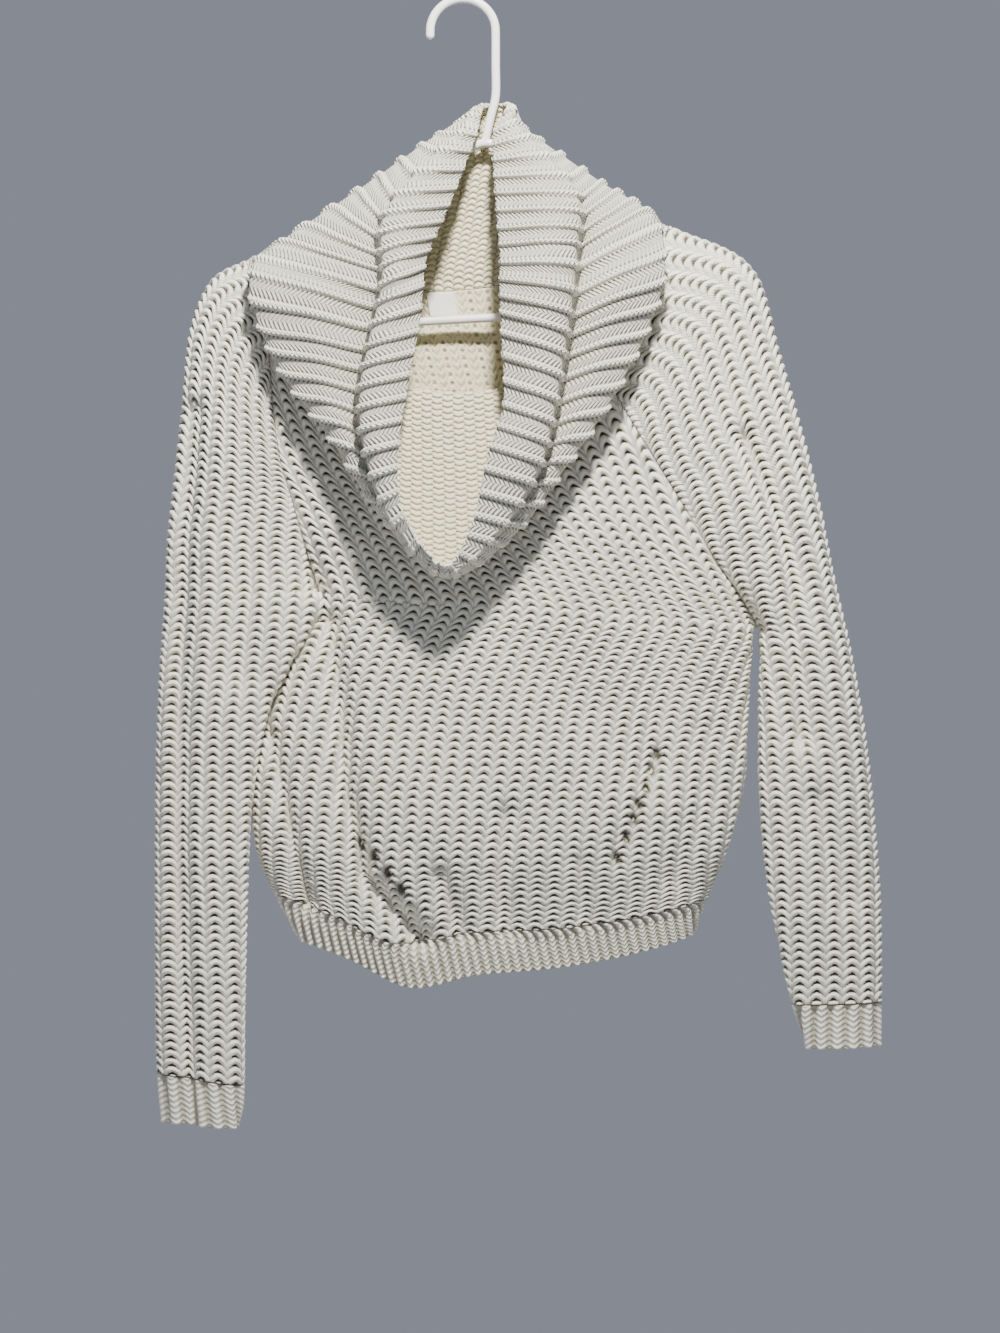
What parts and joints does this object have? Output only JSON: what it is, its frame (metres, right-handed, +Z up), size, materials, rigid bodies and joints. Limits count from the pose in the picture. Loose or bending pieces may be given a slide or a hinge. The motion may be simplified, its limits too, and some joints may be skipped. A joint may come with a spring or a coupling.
{
  "type": "cowl neck sweater on a hanger",
  "caption": "Chunky rib-knit raglan sweater with a large draped cowl, ribbed hem and cuffs, hanging on a plain tube hanger.",
  "frame": {"origin": "inner top of the hanger's hook, where the rail or nail carries it", "axes": "+Z up, the front of the sweater faces -Y, +X to the right as seen from the front; the hanger lies in the plane Y = 0"},
  "size_m": [0.5847, 0.1225, 0.913],
  "materials": {
    "knit": "soft chunky wool-like knit, matt",
    "rib": "soft chunky rib knit, matt",
    "plastic": "smooth white gloss",
    "label": "fine woven satin tape, blank"
  },
  "bodies": {
    "root": {"hanger": "plastic", "front_panel": "knit", "back_panel": "knit", "hem_rib_front": "rib", "hem_rib_back": "rib", "sleeve_left": "knit", "sleeve_right": "knit", "cuff_left": "rib", "cuff_right": "rib", "cowl_under": "rib", "cowl_over": "rib", "neck_label": "label"}
  },
  "joints": []
}
